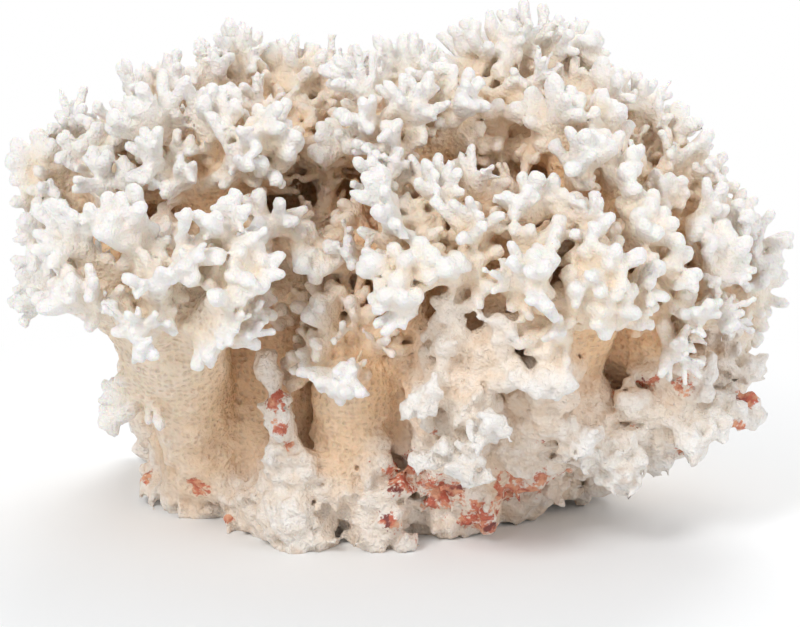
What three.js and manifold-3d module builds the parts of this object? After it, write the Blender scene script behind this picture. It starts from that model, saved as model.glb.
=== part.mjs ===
// A dried colony of white branching coral: a low encrusting foot, cut off flat underneath, from
// which stout stems rise, fork and end in crowns of blunt, finger-like branchlets.
// Millimetres, +Z up. The origin lies on the flat cut, under the middle of the colony's width, and
// the colony's best side faces -Y.
import * as THREE from "three";
import { ConvexHull } from "three/addons/math/ConvexHull.js";
import { mergeVertices } from "three/addons/utils/BufferGeometryUtils.js";
import Module from "manifold-3d";

// ---- Driving dimensions -------------------------------------------------------------------

const SCALE = 0.82; // the tables below are in a plan of the colony, and this brings it to its real size
const GAP = 0.35; // left between two pieces where one grew against the other, at the plan's size
const STEM_SIDES = 5;
const STEM_STEPS = 2; // straight lengths in a stem's curve
const POINT = 0.6; // how far a length's pointed end stands out, in radii
const VALLEYS = 70; // directions tried for the hollows between a crown's twigs
const VALLEY_CLEARANCE = 0.3; // radians between a hollow and the nearest twig
const VALLEY_REACH = 0.8; // radians from the nearest twig where a crown turns plain
const PLAIN_STEP = 6; // a crown's plain side keeps one direction in this many
const CORNER_CLEARANCE = 0.25; // radians between two corners of a crown
const FINGER_ROOT = 2.5; // how deep a finger starts inside its knuckle
const FINGER_TAPER = 0.78;
const LIFT = 0.22; // how strongly fingers bend up to the light
const CROWDED = 4.4; // a finger stops short where its tip would come this near another twig's
const STUNTED = 0.6; // and keeps this share of its length

// The foot is one low crust. This is its outline on the flat cut, anticlockwise from the left.
const FOOT_OUTLINE = [
  [-74, 14], [-65, 0], [-55, -10], [-38, -28], [-12, -30], [6, -31], [20, -27], [25, -12],
  [30, 5], [43, 14], [55, 24], [58, 38], [46, 50], [24, 56], [0, 58], [-30, 60], [-56, 66], [-74, 58],
  [-78, 40], [-72, 24],
];
const FOOT_MIDDLE = [-6, 12];
const FOOT_RINGS = [[1, 0], [0.97, 5], [0.84, 11], [0.55, 16]]; // [share of the outline, height]
const FOOT_TOP = 18;
const FOOT_DEPTH = 8; // goes below the cut and is trimmed off there
const FOOT_LUMPS = 0.12; // share by which the crust's rings swell and sink

// Each branch: [name, foot, crown, radius at the foot, radius at the crown, finger radius, twigs],
// and each twig: [x, y, z of its knuckle, number of fingers, finger length].
const BRANCHES = [
  ["front_left_branch", [-52, -2, 10], [-60, -32, 58], 13, 13, 2.6, [
    [-81, -52, 84, 4, 12], [-67, -56, 87, 4, 12], [-54, -62, 84, 3, 14], [-43, -58, 87, 4, 11],
    [-40, -62, 80, 3, 7], [-42, -66, 74, 3, 8], [-43, -64, 67, 3, 7], [-41, -56, 62, 2, 9],
    [-60, -66, 77, 3, 9], [-79, -56, 72, 4, 10], [-66, -64, 66, 4, 9], [-87, -46, 80, 2, 6],
    [-91, -34, 68, 4, 8], [-72, -22, 33, 2, 6],
  ]],
  ["upper_left_branch", [-34, -6, 14], [-49, -12, 88], 12, 8, 2.2, [
    [-62, -24, 109, 4, 12], [-63, -34, 102, 2, 8], [-50, -26, 110, 4, 12], [-36, -32, 107, 4, 12],
    [-42, -36, 104, 3, 8], [-30, -30, 102, 2, 6], [-56, -32, 97, 3, 7], [-33, -37, 86, 4, 10],
    [-24, -36, 80, 4, 9],
  ]],
  ["far_left_branch", [-54, 12, 8], [-76, 4, 76], 12, 9, 2.2, [
    [-87, 0, 102, 4, 12], [-92, -4, 96, 4, 10], [-94, -6, 88, 4, 9], [-93, -12, 80, 3, 8],
    [-91, -14, 72, 3, 8], [-80, -14, 99, 3, 9], [-76, -26, 95, 3, 8], [-88, 16, 92, 4, 10],
    [-90, 20, 80, 4, 10],
  ]],
  ["top_left_branch", [-38, 16, 14], [-60, 6, 92], 11, 8, 2.1, [
    [-69, 0, 112, 4, 10], [-62, 4, 113, 4, 11], [-75, -10, 106, 4, 8], [-66, 18, 106, 4, 10],
    [-78, 14, 100, 3, 10],
  ]],
  ["top_middle_left_branch", [-20, 12, 16], [-38, 6, 98], 11, 8, 2.1, [
    [-50, 4, 117, 4, 11], [-43, 8, 119, 5, 12], [-38, -6, 112, 4, 9], [-30, 8, 117, 5, 11],
    [-23, 10, 117, 4, 10], [-43, 22, 110, 4, 10], [-28, 24, 112, 4, 10], [-31, -14, 101, 4, 9],
  ]],
  ["notch_branch", [-10, 14, 16], [-17, 12, 96], 13, 10, 2.1, [
    [-17, 14, 115, 4, 11], [-11, 26, 110, 3, 10], [-22, 30, 106, 3, 10], [-19, -12, 95, 4, 9],
    [-12, -8, 104, 3, 8],
  ]],
  ["top_middle_branch", [-6, -4, 16], [0, -14, 98], 12, 9, 2.2, [
    [-9, -18, 118, 4, 11], [1, -14, 121, 4, 12], [8, -18, 119, 4, 11], [3, -32, 115, 4, 10],
    [-9, -32, 112, 4, 7], [15, -26, 115, 3, 8], [-3, -36, 106, 2, 7],
  ]],
  ["top_right_branch", [12, 8, 16], [29, 4, 104], 13, 11, 2.2, [
    [17, 2, 121, 5, 11], [24, 2, 123, 5, 11], [32, 4, 125, 5, 13], [40, 4, 123, 4, 12],
    [44, 8, 122, 3, 11], [25, 22, 116, 4, 11], [38, 22, 114, 4, 11], [34, -8, 118, 3, 8],
    [24, -14, 108, 4, 9], [34, -18, 102, 4, 9], [16, -4, 110, 4, 9],
  ]],
  ["right_top_branch", [26, -2, 14], [46, -2, 92], 10, 8, 2.1, [
    [45, -2, 114, 4, 11], [54, -2, 113, 5, 10], [51, 14, 108, 4, 10],
  ]],
  ["right_upper_branch", [34, 10, 12], [56, 2, 84], 10, 8, 2.1, [
    [62, 2, 108, 5, 11], [69, 0, 103, 5, 10], [66, 18, 100, 4, 10],
  ]],
  ["right_branch", [38, 2, 14], [66, -6, 76], 10, 8, 2.2, [
    [71, -8, 96, 5, 11], [79, -6, 90, 5, 9], [85, -10, 82, 5, 9], [76, -22, 84, 3, 8],
    [66, -24, 90, 3, 6],
  ]],
  ["far_right_branch", [48, 12, 10], [78, 4, 58], 11, 8, 2.2, [
    [92, 0, 73, 4, 10], [94, -2, 62, 4, 9], [90, 2, 54, 3, 8], [88, 16, 68, 4, 10],
    [84, 22, 56, 4, 10],
  ]],
  ["right_low_branch", [40, 2, 14], [66, -22, 58], 10, 8, 2.3, [
    [67, -42, 76, 3, 6], [75, -40, 63, 4, 7], [82, -28, 72, 3, 9], [83, -32, 62, 3, 8],
    [60, -44, 68, 3, 6], [70, -42, 54, 3, 7],
  ]],
  ["front_right_branch", [32, -8, 14], [46, -36, 66], 12, 10, 2.5, [
    [47, -52, 88, 4, 9], [50, -58, 79, 5, 9], [54, -54, 66, 3, 9], [43, -58, 71, 2, 9],
    [60, -44, 86, 4, 9], [60, -50, 74, 3, 8], [38, -58, 63, 3, 8],
  ]],
  ["middle_right_branch", [28, -14, 12], [44, -18, 84], 10, 8, 2.3, [
    [39, -24, 110, 4, 11], [44, -38, 102, 3, 11], [55, -34, 99, 4, 8], [50, -20, 107, 4, 10],
  ]],
  ["front_middle_branch", [18, -20, 8], [22, -36, 72], 13, 10, 2.4, [
    [8, -46, 97, 4, 9], [18, -40, 98, 4, 8], [18, -54, 88, 4, 11], [31, -50, 93, 5, 10],
    [36, -58, 86, 2, 6], [12, -60, 78, 3, 8], [32, -64, 78, 4, 9],
  ]],
  ["front_middle_left_branch", [0, -14, 10], [2, -34, 74], 11, 9, 2.4, [
    [-3, -56, 92, 4, 11], [0, -60, 80, 4, 9], [1, -62, 72, 3, 8], [6, -50, 88, 3, 8],
    [-6, -44, 100, 3, 8],
  ]],
  ["left_recess_branch", [-30, -12, 14], [-29, -16, 60], 9, 6, 2.3, [
    [-28, -20, 76, 5, 9], [-36, -22, 70, 3, 8], [-19, -16, 90, 4, 8], [-24, -22, 62, 2, 7],
  ]],
  ["recess_branch", [-14, -20, 8], [-12, -34, 48], 11, 8, 2.1, [
    [-12, -36, 60, 4, 15], [-19, -40, 60, 2, 10], [-16, -50, 50, 4, 5], [-6, -40, 56, 3, 12],
  ]],
  ["pitted_stem", [14, -20, 4], [14, -41, 54], 13, 11, 3.6, [
    [11, -54, 66, 2, 6], [24, -56, 60, 2, 6], [24, -56, 50, 2, 6], [4, -54, 45, 2, 6],
    [19, -58, 38, 3, 6], [15, -54, 29, 2, 5],
  ]],
  ["round_stub", [28, -18, 14], [36, -44, 48], 10, 8, 5.4, [
    [37, -52, 56, 1, 6],
  ]],
  ["low_right_wall", [32, -12, 14], [46, -30, 38], 11, 9, 3.6, [
    [36, -44, 42, 1, 5], [44, -42, 31, 2, 5], [52, -38, 26, 2, 5],
  ]],
  ["low_right_arm", [52, -20, 26], [72, -24, 34], 8, 7, 3.2, [
    [66, -28, 45, 3, 6], [73, -30, 44, 2, 6], [60, -34, 38, 2, 5], [77, -30, 31, 3, 5],
    [87, -20, 34, 3, 5],
  ]],
  ["low_right_back_arm", [54, 2, 12], [80, -4, 36], 9, 7, 2.6, [
    [86, -6, 46, 4, 8], [89, -4, 38, 4, 7], [82, -8, 53, 3, 7],
  ]],
  ["back_left_branch", [-68, 52, 2], [-72, 34, 62], 11, 9, 2.2, [
    [-84, 36, 72, 4, 10], [-78, 46, 84, 4, 10], [-66, 54, 88, 4, 10], [-72, 32, 96, 4, 10],
    [-60, 42, 98, 4, 10], [-76, 56, 70, 4, 10],
  ]],
  ["back_middle_left_branch", [-26, 38, 8], [-36, 44, 78], 12, 9, 2.2, [
    [-48, 54, 92, 4, 10], [-38, 60, 96, 4, 10], [-26, 58, 98, 4, 10], [-40, 70, 80, 4, 10],
    [-54, 62, 76, 4, 10], [-28, 72, 84, 4, 10], [-44, 40, 104, 4, 10], [-28, 42, 108, 4, 10],
  ]],
  ["back_middle_branch", [0, 38, 8], [0, 44, 82], 12, 9, 2.2, [
    [-10, 56, 102, 4, 10], [4, 52, 106, 4, 10], [14, 58, 98, 4, 10], [-6, 70, 88, 4, 10],
    [8, 72, 86, 4, 10], [-14, 74, 74, 4, 10], [16, 74, 72, 4, 10], [-4, 38, 111, 4, 10],
    [12, 36, 110, 4, 10],
  ]],
  ["back_middle_right_branch", [26, 36, 8], [36, 44, 76], 12, 9, 2.2, [
    [26, 58, 98, 4, 10], [40, 56, 96, 4, 10], [50, 50, 90, 4, 10], [30, 72, 84, 4, 10],
    [45, 66, 80, 4, 10], [55, 58, 74, 4, 10], [42, 38, 104, 4, 10], [54, 34, 98, 4, 10],
    [38, 74, 68, 4, 10],
  ]],
  ["back_right_branch", [48, 30, 8], [64, 30, 60], 11, 9, 2.2, [
    [68, 36, 88, 4, 10], [78, 28, 80, 4, 10], [72, 44, 74, 4, 10], [64, 54, 66, 4, 10],
    [84, 38, 62, 4, 10], [74, 52, 54, 4, 10], [78, 34, 46, 3, 8],
  ]],
  ["back_low_branch", [12, 50, 4], [8, 66, 46], 11, 8, 2.2, [
    [0, 82, 60, 4, 9], [14, 82, 58, 4, 9], [-8, 80, 48, 4, 8], [24, 78, 50, 4, 9],
    [10, 84, 44, 4, 8],
  ]],
  ["back_low_left_branch", [-42, 48, 4], [-48, 64, 46], 11, 8, 2.2, [
    [-40, 78, 62, 4, 9], [-54, 74, 58, 4, 9], [-62, 68, 54, 4, 9], [-44, 80, 48, 4, 8],
    [-28, 78, 52, 4, 9],
  ]],
];

// Worn stubs without fingers: [name, points with a radius each].
const STUBS = [
  ["front_spire", [[-26, -25, 0, 13], [-27, -28, 12, 11], [-29, -33, 23, 5], [-32, -37, 38, 3.6],
    [-34, -37, 51, 2.4]]],
  ["red_knob", [[-5, -28, 2, 10], [-5, -32, 16, 7], [-6, -34, 28, 4]]],
];

// ---- The colony's plan --------------------------------------------------------------------

const vec = (p) => new THREE.Vector3(p[0], p[1], p[2]);

// A repeatable number from 0 to 1 for a pair of whole numbers.
function chance(i, j) {
  const wave = Math.sin(i * 12.9898 + j * 78.233 + 37.719) * 43758.5453;
  return wave - Math.floor(wave);
}

// A stem rises from its foot before it leans out to its crown.
function stemPoints(foot, crown, steps) {
  const bend = foot.clone().lerp(crown, 0.35);
  bend.z = foot.z + (crown.z - foot.z) * 0.55;
  return new THREE.QuadraticBezierCurve3(foot, bend, crown).getPoints(steps);
}

const placedTips = [];

// True where another twig's finger already ends close by.
function isCrowded(tip, twigIndex) {
  return placedTips.some((other) => other.twig !== twigIndex && other.tip.distanceTo(tip) < CROWDED);
}

// The fingers that a twig spreads from its knuckle, as lengths [from, to, radius, radius].
function fingersOf(knuckle, axis, count, length, radius, twigIndex) {
  const side = new THREE.Vector3(0, 0, 1).cross(axis);
  if (side.length() < 0.05) side.set(1, 0, 0);
  side.normalize();
  const rise = axis.clone().cross(side);
  const root = knuckle.clone().addScaledVector(axis, -FINGER_ROOT);
  const fingers = [];
  for (let k = 0; k < count; k += 1) {
    const turn = 2 * Math.PI * (k / Math.max(count - 1, 1) + 0.3 * chance(twigIndex, k));
    const tilt = k === 0 ? 0.15 : 0.75 + 0.25 * chance(twigIndex, k + 10);
    const direction = axis.clone()
      .addScaledVector(side, 1.15 * tilt * Math.cos(turn))
      .addScaledVector(rise, 0.85 * tilt * Math.sin(turn));
    direction.z += LIFT;
    direction.normalize();
    let reach = FINGER_ROOT + length * (0.8 + 0.35 * chance(twigIndex, k + 20));
    let tip = root.clone().addScaledVector(direction, reach);
    if (isCrowded(tip, twigIndex)) {
      reach *= STUNTED;
      tip = root.clone().addScaledVector(direction, reach);
    }
    placedTips.push({ tip, twig: twigIndex });
    const girth = radius * (0.9 + 0.25 * chance(twigIndex, k + 30));
    fingers.push([root, tip, girth, girth * FINGER_TAPER]);
  }
  return fingers;
}

// ---- Solids -------------------------------------------------------------------------------

const wasm = await Module();
wasm.setup();

function toSolid(geometry) {
  geometry.deleteAttribute("normal");
  geometry.deleteAttribute("uv");
  const merged = mergeVertices(geometry, 1e-3);
  return new wasm.Manifold(new wasm.Mesh({
    numProp: 3,
    vertProperties: merged.attributes.position.array,
    triVerts: new Uint32Array(merged.index.array),
  }));
}

// A tapered length with pointed ends, turned about the line from one point to the other.
function taperedLength(from, to, startRadius, endRadius, sides) {
  const length = from.distanceTo(to);
  const profile = [
    new THREE.Vector2(0, -POINT * startRadius),
    new THREE.Vector2(startRadius, 0),
    new THREE.Vector2(endRadius, length),
    new THREE.Vector2(0, length + POINT * endRadius),
  ];
  const geometry = new THREE.LatheGeometry(profile, sides);
  const turn = new THREE.Quaternion().setFromUnitVectors(
    new THREE.Vector3(0, 1, 0), to.clone().sub(from).normalize());
  geometry.applyQuaternion(turn);
  geometry.translate(from.x, from.y, from.z);
  return toSolid(geometry);
}

function chain(points, radii, sides, extra) {
  return points.slice(1).map((point, i) => taperedLength(
    points[i], point, radii[i] + extra, radii[i + 1] + extra, sides));
}

// The corners of a crown: unit directions from its middle, each with its reach. Where two finger
// tips lie close together, the one that reaches further is the corner.
function crownCorners(branch) {
  const corners = [];
  const add = (offset, radius) => {
    const reach = offset.length() + radius;
    const corner = offset.clone().normalize();
    if (corners.every((other) => other.angleTo(corner) > CORNER_CLEARANCE)) {
      corner.reach = reach;
      corners.push(corner);
    }
  };
  const tips = branch.twigs.flatMap((twig) => twig.fingers.map(([, tip, , radius]) => (
    { offset: tip.clone().sub(branch.crown), radius })));
  tips.sort((a, b) => b.offset.length() - a.offset.length());
  for (const { offset, radius } of tips) {
    add(offset, POINT * radius);
  }
  const golden = Math.PI * (3 - Math.sqrt(5));
  for (let i = 0; i < VALLEYS; i += 1) {
    const height = 1 - (2 * (i + 0.5)) / VALLEYS;
    const ring = Math.sqrt(1 - height * height);
    const hollow = new THREE.Vector3(ring * Math.cos(golden * i), ring * Math.sin(golden * i), height);
    const nearest = Math.min(...branch.twigs.map((twig) => (
      twig.knuckle.clone().sub(branch.crown).angleTo(hollow))));
    const kept = nearest < VALLEY_REACH || i % PLAIN_STEP === 0;
    if (kept && nearest > VALLEY_CLEARANCE) add(hollow.multiplyScalar(branch.entry[4]), 0);
  }
  return corners;
}

// A crown is star-shaped: its corners are joined as their directions are on a sphere.
function crownSolid(branch, extra) {
  const corners = crownCorners(branch);
  const hull = new ConvexHull().setFromPoints(corners);
  const positions = [];
  for (const face of hull.faces) {
    let edge = face.edge;
    do {
      const corner = edge.head().point;
      positions.push(...branch.crown.clone().addScaledVector(corner, corner.reach).toArray());
      edge = edge.next;
    } while (edge !== face.edge);
  }
  const flat = new THREE.BufferGeometry();
  flat.setAttribute("position", new THREE.Float32BufferAttribute(positions, 3));
  const geometry = mergeVertices(flat, 1e-3);
  geometry.computeVertexNormals();
  const { position, normal } = geometry.attributes;
  for (let i = 0; i < position.count; i += 1) {
    position.setXYZ(i, position.getX(i) + extra * normal.getX(i),
      position.getY(i) + extra * normal.getY(i), position.getZ(i) + extra * normal.getZ(i));
  }
  return toSolid(geometry);
}

// A branch as one solid, grown by extra.
function branchSolid(branch, extra) {
  const [, , , footRadius, crownRadius] = branch.entry;
  const stem = stemPoints(branch.foot, branch.crown, STEM_STEPS);
  const radii = stem.map((_, i) => footRadius + (crownRadius - footRadius) * (i / STEM_STEPS));
  return wasm.Manifold.union([...chain(stem, radii, STEM_SIDES, extra), crownSolid(branch, extra)]);
}

function stubSolid(points, extra) {
  return wasm.Manifold.union(
    chain(points.map(vec), points.map((p) => p[3]), STEM_SIDES, extra));
}

// Rings of the outline from below the cut up to the crust's top.
function footSolid(extra) {
  const [middleX, middleY] = FOOT_MIDDLE;
  const sides = FOOT_OUTLINE.length;
  const rings = [[1, -FOOT_DEPTH], ...FOOT_RINGS];
  const positions = [];
  rings.forEach(([share, height], ring) => {
    FOOT_OUTLINE.forEach(([x, y], i) => {
      const outward = new THREE.Vector2(x - middleX, y - middleY);
      const lump = ring < 2 ? 1 : 1 + FOOT_LUMPS * (chance(i, ring) - 0.5);
      outward.multiplyScalar(share * lump);
      outward.setLength(outward.length() + extra);
      positions.push(middleX + outward.x, middleY + outward.y, height + (ring < 2 ? 0 : extra));
    });
  });
  const bottom = rings.length * sides;
  positions.push(middleX, middleY, -FOOT_DEPTH, middleX, middleY, FOOT_TOP + extra);
  const faces = [];
  for (let i = 0; i < sides; i += 1) {
    const next = (i + 1) % sides;
    for (let ring = 0; ring < rings.length - 1; ring += 1) {
      const low = ring * sides;
      const high = low + sides;
      faces.push(low + i, low + next, high + next, low + i, high + next, high + i);
    }
    const last = (rings.length - 1) * sides;
    faces.push(next, i, bottom, last + i, last + next, bottom + 1);
  }
  const geometry = new THREE.BufferGeometry();
  geometry.setAttribute("position", new THREE.Float32BufferAttribute(positions, 3));
  geometry.setIndex(faces);
  return toSolid(geometry);
}

// The block above the flat cut.
function aboveCut() {
  const side = 400;
  const block = new THREE.BoxGeometry(side, side, side);
  block.translate(0, 0, side / 2);
  return toSolid(block);
}

function largestPiece(solid) {
  return solid.decompose().reduce((best, piece) => (piece.volume() > best.volume() ? piece : best));
}

// ---- Growth -------------------------------------------------------------------------------

let twigCount = 0;
const branches = BRANCHES.map((entry) => {
  const [name, foot, crown, , , fingerRadius, twigs] = entry;
  const middle = vec(crown);
  return {
    name,
    entry,
    foot: vec(foot),
    crown: middle,
    twigs: twigs.map(([x, y, z, count, length]) => {
      const knuckle = new THREE.Vector3(x, y, z);
      const axis = knuckle.clone().sub(middle).normalize();
      twigCount += 1;
      return {
        knuckle,
        fingers: fingersOf(knuckle, axis, count, length, fingerRadius, twigCount),
      };
    }),
  };
});

const plans = [
  { name: "foot_crust", make: footSolid, colour: 0xd9cfc2 },
  ...STUBS.map(([name, points]) => ({ name, make: (extra) => stubSolid(points, extra), colour: 0xe9e4dc })),
  ...branches.map((branch) => ({
    name: branch.name, make: (extra) => branchSolid(branch, extra), colour: 0xf1ece4 })),
];

// Earlier pieces keep their shape, and later ones are cut back from them. A piece grown by the gap can
// fall short of itself in a deep hollow, so what cuts its neighbours is both together.
const colony = new THREE.Group();
const cutters = [];
const ground = aboveCut();
for (const plan of plans) {
  let solid = plan.make(0).intersect(ground);
  for (const cutter of cutters) {
    solid = solid.subtract(cutter);
  }
  solid = largestPiece(solid);
  cutters.push(plan.make(GAP).add(plan.make(0)));
  const mesh = solid.getMesh();
  const geometry = new THREE.BufferGeometry();
  geometry.setAttribute("position", new THREE.BufferAttribute(mesh.vertProperties, 3));
  geometry.setIndex(new THREE.BufferAttribute(mesh.triVerts, 1));
  geometry.computeVertexNormals();
  const material = new THREE.MeshStandardMaterial({ color: plan.colour, roughness: 0.85, metalness: 0 });
  const piece = new THREE.Mesh(geometry, material);
  piece.name = plan.name;
  colony.add(piece);
}
colony.scale.setScalar(SCALE);

export default colony;
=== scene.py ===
# A dried colony of white branching coral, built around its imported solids.
# The colony is grown from the same plan as the solids: stems rise from a low crusted foot, and each
# crown spreads stalks that end in knuckles of blunt, forked fingers. The growth is written into a
# distance field, and one closed surface is taken from it for each piece.
# The plan is in millimetres of PLAN size, and SCALE brings it to the colony's real size.
import math

import bpy
import numpy as np
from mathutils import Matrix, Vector


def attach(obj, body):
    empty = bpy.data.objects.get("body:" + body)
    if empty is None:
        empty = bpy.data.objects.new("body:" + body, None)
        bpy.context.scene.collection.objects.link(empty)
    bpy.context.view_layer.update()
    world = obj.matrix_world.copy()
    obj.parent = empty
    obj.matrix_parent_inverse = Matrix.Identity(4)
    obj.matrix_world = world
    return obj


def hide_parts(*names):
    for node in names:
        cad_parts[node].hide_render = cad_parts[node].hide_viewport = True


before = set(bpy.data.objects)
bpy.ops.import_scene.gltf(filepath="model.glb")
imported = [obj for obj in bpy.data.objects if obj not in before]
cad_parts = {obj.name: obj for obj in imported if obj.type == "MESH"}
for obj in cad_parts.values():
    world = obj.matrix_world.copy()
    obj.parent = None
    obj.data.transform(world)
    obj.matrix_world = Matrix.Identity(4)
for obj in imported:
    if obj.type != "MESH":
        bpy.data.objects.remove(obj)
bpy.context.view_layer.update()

# ---- Sizes --------------------------------------------------------------------------------

SCALE = 0.82  # real size over plan size
TO_METRES = SCALE * 0.001
VOXEL = 0.76  # plan mm between the field's samples
FIELD_LOW = (-107.0, -79.0, -3.0)
FIELD_HIGH = (108.5, 95.5, 143.0)
FAR = 24.0  # what the field holds where nothing is near

FINGER_ROOT = 2.5
FINGER_TAPER = 0.78
STALK_START = 0.2
LIFT = 0.22
CROWDED = 4.4
STUNTED = 0.6

STEM_BLEND = 6.0  # how widely stems run together
PALM_BLEND = 2.2  # how widely a crown's stalks run together
FINGER_BLEND = 0.8
JOIN_BLEND = 1.8  # fingers to stems
STEMS_TOGETHER = 3.0  # how widely the stems of two pieces run together
SEAM_OVERLAP = 2.0  # how far a piece runs on inside its neighbour
SEAM_SINK = 0.12  # and how quickly it sinks there
SPECK = 700  # a part of a piece with fewer points than this is a speck
MOST_FACES = 480000  # four-sided faces in all the pieces together
FLARE_REACH = 0.5  # how far a stem flares along each stalk of its crown
SIDE_HANDS = 3  # branchlets on the side of each stalk
FILL_PLACES = 18  # directions tried for a short stalk where a crown has no twig
FILL_CLEARANCE = 0.48  # radians from such a stalk to the nearest twig
CUP_SPACING = 0.00135  # metres between the cups on the stems
TURN = 6.283  # radians in a full turn, near enough for growth
THIRD_TURN = 2.094
SPIRAL_TURN = 2.4  # from one filling stalk to the next, which spreads them evenly
STEM_STEPS = 8
FLARE_STEP = 5  # the step of a stem that its flares start from
STALK_NUBS = 3
STUB_LUMPS = 14
RIM_LUMPS = 6  # on each side of the foot's outline
FOOT_MIDDLE = (-6, 12)
FOOT_TOP = 33
SIDE_SEEDS = 5000  # the first seeds of the side branchlets
FILL_SEEDS = 9000  # and of the filling stalks

FORK_AT = 0.36  # how far along a finger it forks
FORK_BOW = 0.06
SHAFT_GIRTH = 0.84
PRONG_CHANCES = (0.82, 0.40)
PRONG_LEAN = 0.72
NUB_CHANCE = 0.3
HAND_LEAN = 0.55  # how far a side branchlet leans along its stalk
HAND_LIFT = 0.45
NUB_LEAN = 0.35
FILL_SPREAD = 0.85

FOOT_OUTLINE = [
    (-74, 14), (-65, 0), (-55, -10), (-38, -28), (-12, -30), (6, -31), (20, -27), (25, -12),
    (30, 5), (43, 14), (55, 24), (58, 38), (46, 50), (24, 56), (0, 58), (-30, 60), (-56, 66), (-74, 58),
    (-78, 40), (-72, 24),
]
FOOT_HEIGHTS = (-4, 0, 5, 11, 16, 18, 30)
FOOT_INSETS = (4.5, 4.5, 5.0, 10.0, 25.0, 42.0, 90.0)

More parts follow.
